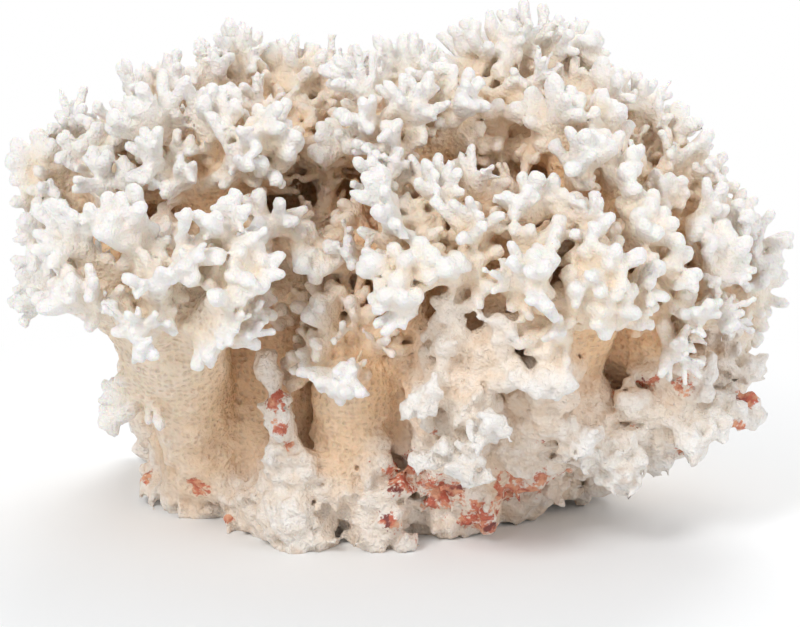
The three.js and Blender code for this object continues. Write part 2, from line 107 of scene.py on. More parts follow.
# [name, foot, crown, radius at the foot, radius at the crown, finger radius, twigs], and each twig
# is [x, y, z of its knuckle, number of fingers, finger length].
BRANCHES = [
    ["front_left_branch", [-52, -2, 10], [-60, -32, 58], 13, 13, 2.6, [
        [-81, -52, 84, 4, 12], [-67, -56, 87, 4, 12], [-54, -62, 84, 3, 14], [-43, -58, 87, 4, 11],
        [-40, -62, 80, 3, 7], [-42, -66, 74, 3, 8], [-43, -64, 67, 3, 7], [-41, -56, 62, 2, 9],
        [-60, -66, 77, 3, 9], [-79, -56, 72, 4, 10], [-66, -64, 66, 4, 9], [-87, -46, 80, 2, 6],
        [-91, -34, 68, 4, 8], [-72, -22, 33, 2, 6],
    ]],
    ["upper_left_branch", [-34, -6, 14], [-49, -12, 88], 12, 8, 2.2, [
        [-62, -24, 109, 4, 12], [-63, -34, 102, 2, 8], [-50, -26, 110, 4, 12], [-36, -32, 107, 4, 12],
        [-42, -36, 104, 3, 8], [-30, -30, 102, 2, 6], [-56, -32, 97, 3, 7], [-33, -37, 86, 4, 10],
        [-24, -36, 80, 4, 9],
    ]],
    ["far_left_branch", [-54, 12, 8], [-76, 4, 76], 12, 9, 2.2, [
        [-87, 0, 102, 4, 12], [-92, -4, 96, 4, 10], [-94, -6, 88, 4, 9], [-93, -12, 80, 3, 8],
        [-91, -14, 72, 3, 8], [-80, -14, 99, 3, 9], [-76, -26, 95, 3, 8], [-88, 16, 92, 4, 10],
        [-90, 20, 80, 4, 10],
    ]],
    ["top_left_branch", [-38, 16, 14], [-60, 6, 92], 11, 8, 2.1, [
        [-69, 0, 112, 4, 10], [-62, 4, 113, 4, 11], [-75, -10, 106, 4, 8], [-66, 18, 106, 4, 10],
        [-78, 14, 100, 3, 10],
    ]],
    ["top_middle_left_branch", [-20, 12, 16], [-38, 6, 98], 11, 8, 2.1, [
        [-50, 4, 117, 4, 11], [-43, 8, 119, 5, 12], [-38, -6, 112, 4, 9], [-30, 8, 117, 5, 11],
        [-23, 10, 117, 4, 10], [-43, 22, 110, 4, 10], [-28, 24, 112, 4, 10], [-31, -14, 101, 4, 9],
    ]],
    ["notch_branch", [-10, 14, 16], [-17, 12, 96], 13, 10, 2.1, [
        [-17, 14, 115, 4, 11], [-11, 26, 110, 3, 10], [-22, 30, 106, 3, 10], [-19, -12, 95, 4, 9],
        [-12, -8, 104, 3, 8],
    ]],
    ["top_middle_branch", [-6, -4, 16], [0, -14, 98], 12, 9, 2.2, [
        [-9, -18, 118, 4, 11], [1, -14, 121, 4, 12], [8, -18, 119, 4, 11], [3, -32, 115, 4, 10],
        [-9, -32, 112, 4, 7], [15, -26, 115, 3, 8], [-3, -36, 106, 2, 7],
    ]],
    ["top_right_branch", [12, 8, 16], [29, 4, 104], 13, 11, 2.2, [
        [17, 2, 121, 5, 11], [24, 2, 123, 5, 11], [32, 4, 125, 5, 13], [40, 4, 123, 4, 12],
        [44, 8, 122, 3, 11], [25, 22, 116, 4, 11], [38, 22, 114, 4, 11], [34, -8, 118, 3, 8],
        [24, -14, 108, 4, 9], [34, -18, 102, 4, 9], [16, -4, 110, 4, 9],
    ]],
    ["right_top_branch", [26, -2, 14], [46, -2, 92], 10, 8, 2.1, [
        [45, -2, 114, 4, 11], [54, -2, 113, 5, 10], [51, 14, 108, 4, 10],
    ]],
    ["right_upper_branch", [34, 10, 12], [56, 2, 84], 10, 8, 2.1, [
        [62, 2, 108, 5, 11], [69, 0, 103, 5, 10], [66, 18, 100, 4, 10],
    ]],
    ["right_branch", [38, 2, 14], [66, -6, 76], 10, 8, 2.2, [
        [71, -8, 96, 5, 11], [79, -6, 90, 5, 9], [85, -10, 82, 5, 9], [76, -22, 84, 3, 8],
        [66, -24, 90, 3, 6],
    ]],
    ["far_right_branch", [48, 12, 10], [78, 4, 58], 11, 8, 2.2, [
        [92, 0, 73, 4, 10], [94, -2, 62, 4, 9], [90, 2, 54, 3, 8], [88, 16, 68, 4, 10],
        [84, 22, 56, 4, 10],
    ]],
    ["right_low_branch", [40, 2, 14], [66, -22, 58], 10, 8, 2.3, [
        [67, -42, 76, 3, 6], [75, -40, 63, 4, 7], [82, -28, 72, 3, 9], [83, -32, 62, 3, 8],
        [60, -44, 68, 3, 6], [70, -42, 54, 3, 7],
    ]],
    ["front_right_branch", [32, -8, 14], [46, -36, 66], 12, 10, 2.5, [
        [47, -52, 88, 4, 9], [50, -58, 79, 5, 9], [54, -54, 66, 3, 9], [43, -58, 71, 2, 9],
        [60, -44, 86, 4, 9], [60, -50, 74, 3, 8], [38, -58, 63, 3, 8],
    ]],
    ["middle_right_branch", [28, -14, 12], [44, -18, 84], 10, 8, 2.3, [
        [39, -24, 110, 4, 11], [44, -38, 102, 3, 11], [55, -34, 99, 4, 8], [50, -20, 107, 4, 10],
    ]],
    ["front_middle_branch", [18, -20, 8], [22, -36, 72], 13, 10, 2.4, [
        [8, -46, 97, 4, 9], [18, -40, 98, 4, 8], [18, -54, 88, 4, 11], [31, -50, 93, 5, 10],
        [36, -58, 86, 2, 6], [12, -60, 78, 3, 8], [32, -64, 78, 4, 9],
    ]],
    ["front_middle_left_branch", [0, -14, 10], [2, -34, 74], 11, 9, 2.4, [
        [-3, -56, 92, 4, 11], [0, -60, 80, 4, 9], [1, -62, 72, 3, 8], [6, -50, 88, 3, 8],
        [-6, -44, 100, 3, 8],
    ]],
    ["left_recess_branch", [-30, -12, 14], [-29, -16, 60], 9, 6, 2.3, [
        [-28, -20, 76, 5, 9], [-36, -22, 70, 3, 8], [-19, -16, 90, 4, 8], [-24, -22, 62, 2, 7],
    ]],
    ["recess_branch", [-14, -20, 8], [-12, -34, 48], 11, 8, 2.1, [
        [-12, -36, 60, 4, 15], [-19, -40, 60, 2, 10], [-16, -50, 50, 4, 5], [-6, -40, 56, 3, 12],
    ]],
    ["pitted_stem", [14, -20, 4], [14, -41, 54], 13, 11, 3.6, [
        [11, -54, 66, 2, 6], [24, -56, 60, 2, 6], [24, -56, 50, 2, 6], [4, -54, 45, 2, 6],
        [19, -58, 38, 3, 6], [15, -54, 29, 2, 5],
    ]],
    ["round_stub", [28, -18, 14], [36, -44, 48], 10, 8, 5.4, [
        [37, -52, 56, 1, 6],
    ]],
    ["low_right_wall", [32, -12, 14], [46, -30, 38], 11, 9, 3.6, [
        [36, -44, 42, 1, 5], [44, -42, 31, 2, 5], [52, -38, 26, 2, 5],
    ]],
    ["low_right_arm", [52, -20, 26], [72, -24, 34], 8, 7, 3.2, [
        [66, -28, 45, 3, 6], [73, -30, 44, 2, 6], [60, -34, 38, 2, 5], [77, -30, 31, 3, 5],
        [87, -20, 34, 3, 5],
    ]],
    ["low_right_back_arm", [54, 2, 12], [80, -4, 36], 9, 7, 2.6, [
        [86, -6, 46, 4, 8], [89, -4, 38, 4, 7], [82, -8, 53, 3, 7],
    ]],
    ["back_left_branch", [-68, 52, 2], [-72, 34, 62], 11, 9, 2.2, [
        [-84, 36, 72, 4, 10], [-78, 46, 84, 4, 10], [-66, 54, 88, 4, 10], [-72, 32, 96, 4, 10],
        [-60, 42, 98, 4, 10], [-76, 56, 70, 4, 10],
    ]],
    ["back_middle_left_branch", [-26, 38, 8], [-36, 44, 78], 12, 9, 2.2, [
        [-48, 54, 92, 4, 10], [-38, 60, 96, 4, 10], [-26, 58, 98, 4, 10], [-40, 70, 80, 4, 10],
        [-54, 62, 76, 4, 10], [-28, 72, 84, 4, 10], [-44, 40, 104, 4, 10], [-28, 42, 108, 4, 10],
    ]],
    ["back_middle_branch", [0, 38, 8], [0, 44, 82], 12, 9, 2.2, [
        [-10, 56, 102, 4, 10], [4, 52, 106, 4, 10], [14, 58, 98, 4, 10], [-6, 70, 88, 4, 10],
        [8, 72, 86, 4, 10], [-14, 74, 74, 4, 10], [16, 74, 72, 4, 10], [-4, 38, 111, 4, 10],
        [12, 36, 110, 4, 10],
    ]],
    ["back_middle_right_branch", [26, 36, 8], [36, 44, 76], 12, 9, 2.2, [
        [26, 58, 98, 4, 10], [40, 56, 96, 4, 10], [50, 50, 90, 4, 10], [30, 72, 84, 4, 10],
        [45, 66, 80, 4, 10], [55, 58, 74, 4, 10], [42, 38, 104, 4, 10], [54, 34, 98, 4, 10],
        [38, 74, 68, 4, 10],
    ]],
    ["back_right_branch", [48, 30, 8], [64, 30, 60], 11, 9, 2.2, [
        [68, 36, 88, 4, 10], [78, 28, 80, 4, 10], [72, 44, 74, 4, 10], [64, 54, 66, 4, 10],
        [84, 38, 62, 4, 10], [74, 52, 54, 4, 10], [78, 34, 46, 3, 8],
    ]],
    ["back_low_branch", [12, 50, 4], [8, 66, 46], 11, 8, 2.2, [
        [0, 82, 60, 4, 9], [14, 82, 58, 4, 9], [-8, 80, 48, 4, 8], [24, 78, 50, 4, 9],
        [10, 84, 44, 4, 8],
    ]],
    ["back_low_left_branch", [-42, 48, 4], [-48, 64, 46], 11, 8, 2.2, [
        [-40, 78, 62, 4, 9], [-54, 74, 58, 4, 9], [-62, 68, 54, 4, 9], [-44, 80, 48, 4, 8],
        [-28, 78, 52, 4, 9],
    ]],
]

STUBS = [
    ["front_spire", [[-26, -25, 0, 13], [-27, -28, 12, 11], [-29, -33, 23, 5], [-32, -37, 38, 3.6],
        [-34, -37, 51, 2.4]]],
    ["red_knob", [[-5, -28, 2, 10], [-5, -32, 16, 7], [-6, -34, 28, 4]]],
]

# Where the crust is red or pink: [x, y, z, radius, strength].
RED_PLACES = [
    (1, -37, 21, 6.0, 1.0), (10, -34, 14, 6.5, 1.0), (-3, -37, 9, 3.5, 0.9), (6, -35, 5, 3.0, 0.8),
    (20, -30, 7, 5.5, 1.0), (24, -28, 3, 3.0, 0.8), (30, -26, 15, 7.0, 1.0), (36, -28, 20, 5.0, 1.0),
    (42, -30, 19, 2.6, 0.9), (43, -34, 26, 2.2, 0.9), (55, -30, 41, 2.4, 0.9), (63, -30, 45, 3.0, 1.0),
    (73, -30, 44, 3.2, 1.0), (90, -20, 37, 3.4, 1.0), (88, -20, 30, 3.0, 1.0), (74, -30, 27, 3.6, 1.0),
    (80, -24, 46, 2.4, 0.9), (60, -32, 33, 2.0, 0.8), (-54, -12, 12, 3.6, 1.0), (-71, 10, 8, 3.4, 0.9),
    (-32, -40, 41, 3.0, 1.0), (-31, -40, 35, 2.6, 0.9), (-29, -38, 29, 2.0, 0.9), (-54, -13, 5, 1.8, 0.9),
    (-46, -20, 4, 1.7, 0.9), (-15, -36, 3, 2.2, 0.9), (-12, -34, 13, 2.0, 0.8), (17, -54, 44, 1.8, 0.9),
    (28, -54, 36, 2.0, 0.9), (8, -50, 36, 1.6, 0.8), (36, -44, 30, 2.0, 0.9), (50, -36, 28, 2.4, 0.9),
]

# The skin's unevenness: (spacing, seed, depth everywhere, more on crust, more on the low rock).
RELIEF = [
    (14.0, 15, 0.0, 0.0, 4.6), (12.0, 13, 0.90, 0.60, 0.0), (6.5, 12, 0.50, 1.10, 2.6),
    (2.8, 11, 0.36, 1.7, 0.0), (1.7, 16, 0.50, 0.50, 0.0),
]

# ---- Growth -------------------------------------------------------------------------------


def chance(i, j):
    """A repeatable number from 0 to 1 for a pair of whole numbers. The second tells uses apart."""
    wave = math.sin(i * 12.9898 + j * 78.233 + 37.719) * 43758.5453
    return wave - math.floor(wave)


def stem_points(foot, crown, steps):
    bend = foot.lerp(crown, 0.35)
    bend.z = foot.z + (crown.z - foot.z) * 0.55
    points = []
    for i in range(steps + 1):
        t = i / steps
        points.append(foot * (1 - t) ** 2 + bend * (2 * t * (1 - t)) + crown * t * t)
    return points


placed_tips = []


def fingers_of(knuckle, axis, count, length, radius, twig):
    """The fingers of a knuckle as (root, tip, girth)."""
    side = Vector((0, 0, 1)).cross(axis)
    if side.length < 0.05:
        side = Vector((1, 0, 0))
    side.normalize()
    rise = axis.cross(side)
    root = knuckle - axis * FINGER_ROOT
    fingers = []
    for k in range(count):
        turn = 2 * math.pi * (k / max(count - 1, 1) + 0.3 * chance(twig, k))
        tilt = 0.15 if k == 0 else 0.75 + 0.25 * chance(twig, k + 10)
        direction = axis + side * (1.15 * tilt * math.cos(turn)) + rise * (0.85 * tilt * math.sin(turn))
        direction.z += LIFT
        direction.normalize()
        reach = FINGER_ROOT + length * (0.8 + 0.35 * chance(twig, k + 20))
        tip = root + direction * reach
        if any(other != twig and (place - tip).length < CROWDED for place, other in placed_tips):
            tip = root + direction * (reach * STUNTED)
        placed_tips.append((tip, twig))
        fingers.append((root, tip, radius * (0.9 + 0.25 * chance(twig, k + 30))))
    return fingers


def across(axis, turn):
    """The direction square to an axis at a turn round it."""
    side = axis.orthogonal().normalized()
    return side * math.cos(turn) + axis.cross(side) * math.sin(turn)


def forked(root, tip, girth, seed):
    """A finger's lengths (from, to, radius, radius): a shaft, blunt prongs and nubs on its side."""
    along = tip - root
    length = along.length
    along.normalize()
    bow = across(along, TURN * chance(seed, 60)) * (FORK_BOW * length)
    girth *= SHAFT_GIRTH
    fork = root.lerp(tip, FORK_AT) + bow
    end = girth * FINGER_TAPER
    lengths = [(root, fork, girth, girth * 0.92), (fork, tip, girth * 0.88, end)]
    turn = TURN * chance(seed, 61)
    for n, likely in enumerate(PRONG_CHANCES):
        if chance(seed, 62 + n) < likely:
            lean = along + across(along, turn + 2.6 * n) * PRONG_LEAN
            prong = length * (0.48 + 0.20 * chance(seed, 64 + n))
            lengths.append((fork, fork + lean.normalized() * prong, girth * 0.86, end * 0.96))
    for n in range(2):
        if chance(seed, 70 + n) < NUB_CHANCE:
            place = root.lerp(tip, 0.35 + 0.5 * chance(seed, 80 + n))
            out = (across(along, turn + 1.7 * n + 1.2) + along * 0.8).normalized()
            lengths.append((place, place + out * (girth * 1.9), girth * 0.62, girth * 0.46))
    return lengths


def side_hand(start, knuckle, axis, girth, twig, n):
    """A short forked branchlet on the side of a stalk."""
    place = start.lerp(knuckle, 0.42 + 0.52 * chance(twig, 130 + n))
    turn = TURN * (n / SIDE_HANDS + 0.3 * chance(twig, 140 + n))
    out = across(axis, turn) + axis * HAND_LEAN
    out.z += HAND_LIFT
    length = 8.5 + 4.5 * chance(twig, 150 + n)
    return forked(place, place + out.normalized() * length, girth, SIDE_SEEDS + twig * 8 + n)


def side_nub(start, knuckle, axis, stalk, finger_radius, twig, n):
    """A blunt nub on the side of a stalk."""
    place = start.lerp(knuckle, 0.25 + 0.7 * chance(twig, 100 + n))
    out = across(axis, TURN * chance(twig, 110 + n)) + axis * NUB_LEAN
    length = stalk + 1.5 + 2.0 * chance(twig, 120 + n)
    return place, place + out.normalized() * length, finger_radius * 0.8, finger_radius * 0.62


def fill_stalk(crown, direction, reach, girth, seed):
    """A short stalk with a few forked fingers, as (stalk, finger lengths)."""
    end = crown + direction * reach
    hands = forked(end, end + direction * 9, girth, seed)
    for n in range(3):
        turn = THIRD_TURN * n + 1.5 * chance(seed, 90)
        out = direction + across(direction, turn) * FILL_SPREAD
        out.z += LIFT
        length = 7.5 + 3 * chance(seed, 91 + n)
        hands += forked(end, end + out.normalized() * length, girth, seed + n + 1)
    return (crown, end, girth * 2.0, girth * 1.25), hands


class Piece:
    """One node of the colony: its material, its stem, its stalks and its fingers."""

    def __init__(self, name, slot):
        self.name = name
        self.slot = slot
        self.thick = []
        self.palm = []
        self.fine = []


def foot_piece():
    """The foot, with lumps round its rim. foot_field gives it its body."""
    piece = Piece("foot_crust", "crust")
    middle_x, middle_y = FOOT_MIDDLE
    for i, (x, y) in enumerate(FOOT_OUTLINE):
        next_x, next_y = FOOT_OUTLINE[(i + 1) % len(FOOT_OUTLINE)]
        for n in range(RIM_LUMPS):
            along = (n + chance(500 + i, n)) / RIM_LUMPS
            inward = 0.74 + 0.16 * chance(520 + i, n)
            lump = 2.6 + 3.6 * chance(540 + i, n)
            place = Vector((
                middle_x + (x + (next_x - x) * along - middle_x) * inward,
                middle_y + (y + (next_y - y) * along - middle_y) * inward,
                1 + 13 * chance(560 + i, n) * (1.55 - inward),
            ))
            lean = Vector((chance(580 + i, n) - 0.5, chance(600 + i, n) - 0.5, 0.5))
            piece.palm.append((place, place + lean * lump, lump, lump * 0.72))
    return piece


def stub_piece(stub_index, name, points):
    """A worn stub: a column with lumps on its two lowest lengths, and no fingers."""
    piece = Piece(name, "crust")
    for a, b in zip(points, points[1:]):
        piece.palm.append((Vector(a[:3]), Vector(b[:3]), a[3] * 0.86, b[3] * 0.86))
    for n in range(STUB_LUMPS):
        lower, upper = points[n % 2], points[n % 2 + 1]
        place = Vector(lower[:3]).lerp(Vector(upper[:3]), chance(900 + stub_index, n))
        turn = TURN * chance(910 + stub_index, n)
        out = Vector((math.cos(turn), math.sin(turn), 0.3))
        girth = upper[3]
        piece.palm.append((place, place + out * (girth * 0.8), girth * 0.42, girth * 0.28))
    return piece


def stem_radius(t, foot_radius, crown_radius):
    """A stem's radius at a share of its way from foot to crown."""
    return foot_radius * 0.76 * (1 - 0.5 * t) + crown_radius * (0.40 * t + 0.12 * t ** 3)


def add_twig(piece, stem, crown, crown_radius, finger_radius, twig, number):
    """Adds a twig: a stalk, the fingers of its knuckle, and branchlets and nubs on its side."""
    x, y, z, count, length = twig
    knuckle = Vector((x, y, z))
    axis = (knuckle - crown).normalized()
    stalk = finger_radius * (1.15 + 0.1 * count)
    start = crown.lerp(knuckle, STALK_START)
    piece.palm.append((start, knuckle, stalk * 1.5, stalk * 0.70))
    fingers = fingers_of(knuckle, axis, count, length, finger_radius, number)
    for k, (root, tip, girth) in enumerate(fingers):
        piece.fine += forked(root, tip, girth, number * 8 + k)
    if piece.slot == "coral":
        flare = crown.lerp(knuckle, FLARE_REACH)
        piece.thick.append((stem[FLARE_STEP], flare, crown_radius * 0.5, stalk * 0.9))
        for n in range(SIDE_HANDS):
            piece.fine += side_hand(start, knuckle, axis, finger_radius * 0.96, number, n)
    for n in range(STALK_NUBS):
        piece.fine.append(side_nub(start, knuckle, axis, stalk, finger_radius, number, n))


def add_filling(piece, crown, finger_radius, twigs, branch_index):
    """Adds short stalks to a crown in the directions where it has no twig."""
    ways = [Vector(twig[:3]) - crown for twig in twigs]
    for n in range(FILL_PLACES):
        height = 1 - 0.95 * n / FILL_PLACES
        ring = math.sqrt(1 - height * height)
        turn = SPIRAL_TURN * n
        direction = Vector((ring * math.cos(turn), ring * math.sin(turn), height))
        if min(direction.angle(way) for way in ways) > FILL_CLEARANCE:
            reach = min(way.length for way in ways) * (0.62 + 0.2 * chance(branch_index, 200 + n))
            seed = FILL_SEEDS + branch_index * 100 + n * 5
            stalk, hands = fill_stalk(crown, direction, reach, finger_radius * 0.95, seed)
            piece.palm.append(stalk)
            piece.fine += hands


CRUSTED = {"pitted_stem", "round_stub", "low_right_wall", "low_right_arm", "low_right_back_arm"}


def branch_piece(branch_index, branch, twigs_before):
    name, foot, crown, foot_radius, crown_radius, finger_radius, twigs = branch
    piece = Piece(name, "crust" if name in CRUSTED else "coral")
    crown = Vector(crown)
    stem = stem_points(Vector(foot), crown, STEM_STEPS)
    for i in range(STEM_STEPS):
        r0, r1 = (stem_radius(t, foot_radius, crown_radius)
                  for t in (i / STEM_STEPS, (i + 1) / STEM_STEPS))
        piece.thick.append((stem[i], stem[i + 1], r0, r1))
    for i, twig in enumerate(twigs):
        add_twig(piece, stem, crown, crown_radius, finger_radius, twig, twigs_before + i + 1)
    if piece.slot == "coral":
        add_filling(piece, crown, finger_radius, twigs, branch_index)
    return piece


pieces = [foot_piece()]
pieces += [stub_piece(i, name, points) for i, (name, points) in enumerate(STUBS)]
twigs_before = 0
for branch_index, branch in enumerate(BRANCHES):
    pieces.append(branch_piece(branch_index, branch, twigs_before))
    twigs_before += len(branch[-1])

# ---- Distance field -----------------------------------------------------------------------

low = np.array(FIELD_LOW)
shape = tuple(int(math.ceil((h - l) / VOXEL)) + 1 for l, h in zip(FIELD_LOW, FIELD_HIGH))
axes = [(low[i] + VOXEL * np.arange(shape[i])).astype(np.float32) for i in range(3)]


def soft_min(a, b, width):
    h = np.maximum(width - np.abs(a - b), 0) / width
    return np.minimum(a, b) - h * h * (width * 0.25)


def span(low_corner, high_corner):
    """The slices of the field that a box takes up."""
    cuts = []
    for i in range(3):
        first = max(0, int((low_corner[i] - low[i]) / VOXEL) - 1)
        last = min(shape[i], int((high_corner[i] - low[i]) / VOXEL) + 3)
        cuts.append(slice(first, last))
    return tuple(cuts)


def stamp(field, base, lengths, width):
    """Adds tapered round lengths to a field whose first sample is base."""
    for a, b, ra, rb in lengths:
        margin = width + 2.5
        box = span([min(a[i] - ra, b[i] - rb) - margin for i in range(3)],
                   [max(a[i] + ra, b[i] + rb) + margin for i in range(3)])
        local = tuple(slice(max(s.start - o, 0), min(s.stop - o, n))
                      for s, o, n in zip(box, base, field.shape))
        x = axes[0][base[0] + local[0].start:base[0] + local[0].stop][:, None, None] - np.float32(a.x)
        y = axes[1][base[1] + local[1].start:base[1] + local[1].stop][None, :, None] - np.float32(a.y)
        z = axes[2][base[2] + local[2].start:base[2] + local[2].stop][None, None, :] - np.float32(a.z)
        d = b - a
        t = np.clip((x * d.x + y * d.y + z * d.z) / max(d.length_squared, 1e-6), 0, 1).astype(np.float32)
        away = np.sqrt((x - t * d.x) ** 2 + (y - t * d.y) ** 2 + (z - t * d.z) ** 2)
        field[local] = soft_min(field[local], away - (ra + t * (rb - ra)), width)


def lattice_noise(spacing, seed):
    """Smooth noise from about -1 to 1 at the field's samples."""
    counts = [int((FIELD_HIGH[i] - FIELD_LOW[i]) / spacing) + 4 for i in range(3)]
    values = np.random.default_rng(seed).uniform(-1, 1, counts).astype(np.float32)
    for i in range(3):
        place = (axes[i] - low[i]) / spacing + 1
        cell = place.astype(int)
        part = place - cell
        part = (part * part * (3 - 2 * part)).astype(np.float32)
        part = part.reshape([-1 if j == i else 1 for j in range(3)])
        values = np.take(values, cell, axis=i) * (1 - part) + np.take(values, cell + 1, axis=i) * part
    return values


def foot_field():
    """The low crust: a distance to its outline, drawn in as it rises."""
    x, y = np.meshgrid(axes[0], axes[1], indexing="ij")
    nearest = np.full(x.shape, 1e9, np.float32)
    inside = np.zeros(x.shape, bool)
    for (ax, ay), (bx, by) in zip(FOOT_OUTLINE, FOOT_OUTLINE[1:] + FOOT_OUTLINE[:1]):
        dx, dy = bx - ax, by - ay
        t = np.clip(((x - ax) * dx + (y - ay) * dy) / (dx * dx + dy * dy), 0, 1)
        nearest = np.minimum(nearest, np.hypot(x - ax - t * dx, y - ay - t * dy))
        if ay != by:
            crosses = ((ay > y) != (by > y)) & (x < ax + (y - ay) * dx / dy)
            inside ^= crosses
    flat = np.where(inside, -nearest, nearest)[:, :, None]
    inset = np.interp(axes[2], FOOT_HEIGHTS, FOOT_INSETS).astype(np.float32)
    return ((flat + inset) * 0.6).astype(np.float32)


def piece_field(piece):
    """A piece's box in the field, with its stems and its fingers there."""
    if piece.name == "foot_crust":
        box = (slice(0, shape[0]), slice(0, shape[1]), slice(0, min(shape[2], int(FOOT_TOP / VOXEL))))
        thick = foot_field()[box].copy()
        stamp(thick, (0, 0, 0), piece.palm, PALM_BLEND)
        return box, thick, np.full(thick.shape, FAR, np.float32)
    lengths = piece.thick + piece.palm + piece.fine
    corners = np.array([[p[i] + s * r for p, r in ((a, ra), (b, rb)) for s in (-1, 1)]
                        for a, b, ra, rb in lengths for i in range(3)]).reshape(len(lengths), 3, 4)
    margin = STEM_BLEND + 3
    box = span(corners.min(axis=(0, 2)) - margin, corners.max(axis=(0, 2)) + margin)
    size = tuple(s.stop - s.start for s in box)
    base = tuple(s.start for s in box)
    thick = np.full(size, FAR, np.float32)
    stamp(thick, base, piece.thick, STEM_BLEND)
    stamp(thick, base, piece.palm, PALM_BLEND)
    fine = np.full(size, FAR, np.float32)
    stamp(fine, base, piece.fine, FINGER_BLEND)
    return box, thick, fine


stems = np.full(shape, FAR, np.float32)
fingers = np.full(shape, FAR, np.float32)
best = np.full(shape, FAR, np.float32)
second = np.full(shape, FAR, np.float32)
owner = np.full(shape, -1, np.int8)
own_fields = []

for index, piece in enumerate(pieces):
    box, thick, fine = piece_field(piece)
    stems[box] = soft_min(stems[box], thick, STEMS_TOGETHER)
    fingers[box] = soft_min(fingers[box], fine, FINGER_BLEND)
    own = np.minimum(thick, fine)
    nearer = own < best[box]
    second[box] = np.where(nearer, best[box], np.minimum(second[box], own))
    owner[box] = np.where(nearer, index, owner[box])
    best[box] = np.minimum(best[box], own)
    own_fields.append((box, own))

oldness = np.clip((fingers - stems) / 5 + 0.55, 0, 1)
colony = soft_min(stems, fingers, JOIN_BLEND)


def blurred(values, radius):
    """A box blur run twice, which stands for how much coral is round a place."""
    n = max(1, int(radius / VOXEL))
    for _ in range(2):
        for i in range(3):
            padded = np.pad(values, [(n + 1, n) if j == i else (0, 0) for j in range(3)], mode="edge")
            total = np.cumsum(padded, axis=i, dtype=np.float32)
            values = (np.take(total, range(2 * n + 1, total.shape[i]), axis=i)
                      - np.take(total, range(0, total.shape[i] - 2 * n - 1), axis=i)) / (2 * n + 1)
    return values


is_crusted = np.array([piece.slot == "crust" for piece in pieces] + [False])
height = axes[2][None, None, :]
crust = np.clip(1.2 - height / 34, 0, 1) * 0.55 + blurred(is_crusted[owner].astype(np.float32), 3.0) * 0.75
crust = np.clip(crust, 0, 1).astype(np.float32)
rock = np.clip(1.25 - height / 24, 0, 1)
for spacing, seed, everywhere, on_crust, on_rock in RELIEF:
    colony += lattice_noise(spacing, seed) * (everywhere + on_crust * crust + on_rock * rock)
colony += (np.abs(lattice_noise(4.2, 14)) - 0.33) * (2.1 * crust + 1.2 * rock)
solid = (colony < 0).astype(np.float32)
# How crowded each place is, which paints shade in cream between the fingers.
crowding_shade = blurred(solid, 6.0)
oldness = blurred(oldness.astype(np.float32), 2.6)
# How deep inside the colony each place is, which paints a warm glow in the recesses.
depth_glow = blurred(solid, 19.0)

# ---- Surfaces -----------------------------------------------------------------------------


def surface_net(field):
    """The surface where a field crosses 0, as points in samples and four-sided faces."""
    inside = field < 0
    cells = tuple(n - 1 for n in field.shape)
    total = np.zeros((int(np.prod(cells)), 3))
    hits = np.zeros(int(np.prod(cells)))
    faces = []
    for axis in range(3):
        u, v = (axis + 1) % 3, (axis + 2) % 3
        lower = np.take(inside, range(field.shape[axis] - 1), axis=axis)
        upper = np.take(inside, range(1, field.shape[axis]), axis=axis)
        at = np.argwhere(lower != upper)
        keep = (at[:, u] > 0) & (at[:, v] > 0) & (at[:, u] < cells[u]) & (at[:, v] < cells[v])
        at = at[keep]
        step = np.zeros(3, int)
        step[axis] = 1
        first = field[tuple(at.T)]
        last = field[tuple((at + step).T)]
        place = at.astype(float)
        place[:, axis] += first / (first - last)
        ring = []
        for du, dv in ((1, 1), (0, 1), (0, 0), (1, 0)):
            cell = at.copy()
            cell[:, u] -= du
            cell[:, v] -= dv
            flat = np.ravel_multi_index(tuple(cell.T), cells)
            ring.append(flat)
            for i in range(3):
                total[:, i] += np.bincount(flat, place[:, i], len(hits))
            hits += np.bincount(flat, minlength=len(hits))
        quads = np.stack(ring, axis=1)
        turned = ~inside[tuple(at.T)]
        quads[turned] = quads[turned][:, ::-1]
        faces.append(quads)
    used = np.flatnonzero(hits)
    number = np.full(len(hits), -1)
    number[used] = np.arange(len(used))
    return total[used] / hits[used][:, None], number[np.concatenate(faces)]


def without_pinches(field):
    """Fills the few samples round which two sheets of the surface would share an edge."""
    for _ in range(8):
        inside = field < 0
        pinched = False
        for u, v in ((0, 1), (1, 2), (2, 0)):
            corner = {}
            for du, dv in ((0, 0), (1, 1), (1, 0), (0, 1)):
                cut = [slice(None)] * 3
                cut[u] = slice(du, field.shape[u] - 1 + du)
                cut[v] = slice(dv, field.shape[v] - 1 + dv)
                corner[du, dv] = tuple(cut)
            for a, b, c, d in (((0, 0), (1, 1), (1, 0), (0, 1)), ((1, 0), (0, 1), (0, 0), (1, 1))):
                found = (inside[corner[a]] & inside[corner[b]] & ~inside[corner[c]] & ~inside[corner[d]])
                if found.any():
                    field[corner[c]][found] = -0.02
                    pinched = True
        if not pinched:
            break
    return field


def without_specks(points, faces):
    """Drops each closed part of a piece that has fewer than SPECK points."""
    label = np.arange(len(points))
    ends = np.concatenate([faces[:, [i, (i + 1) % 4]] for i in range(4)])
    while True:
        least = np.minimum(label[ends[:, 0]], label[ends[:, 1]])
        lower = label.copy()
        np.minimum.at(lower, ends[:, 0], least)
        np.minimum.at(lower, ends[:, 1], least)
        lower = lower[lower]
        if (lower == label).all():
            break
        label = lower
    keep = np.bincount(label, minlength=len(points))[label] >= SPECK
    number = np.cumsum(keep) - 1
    return points[keep], number[faces[keep[faces[:, 0]]]]


def sample(values, points):
    """Reads a field at points given in samples of the whole field."""
    cell = np.clip(points.astype(int), 0, np.array(shape) - 2)
    part = points - cell
    result = np.zeros(len(points))
    for corner in range(8):
        step = np.array([corner & 1, corner >> 1 & 1, corner >> 2 & 1])
        weight = np.prod(np.where(step == 1, part, 1 - part), axis=1)
        result += weight * values[tuple((cell + step).T)]
    return result


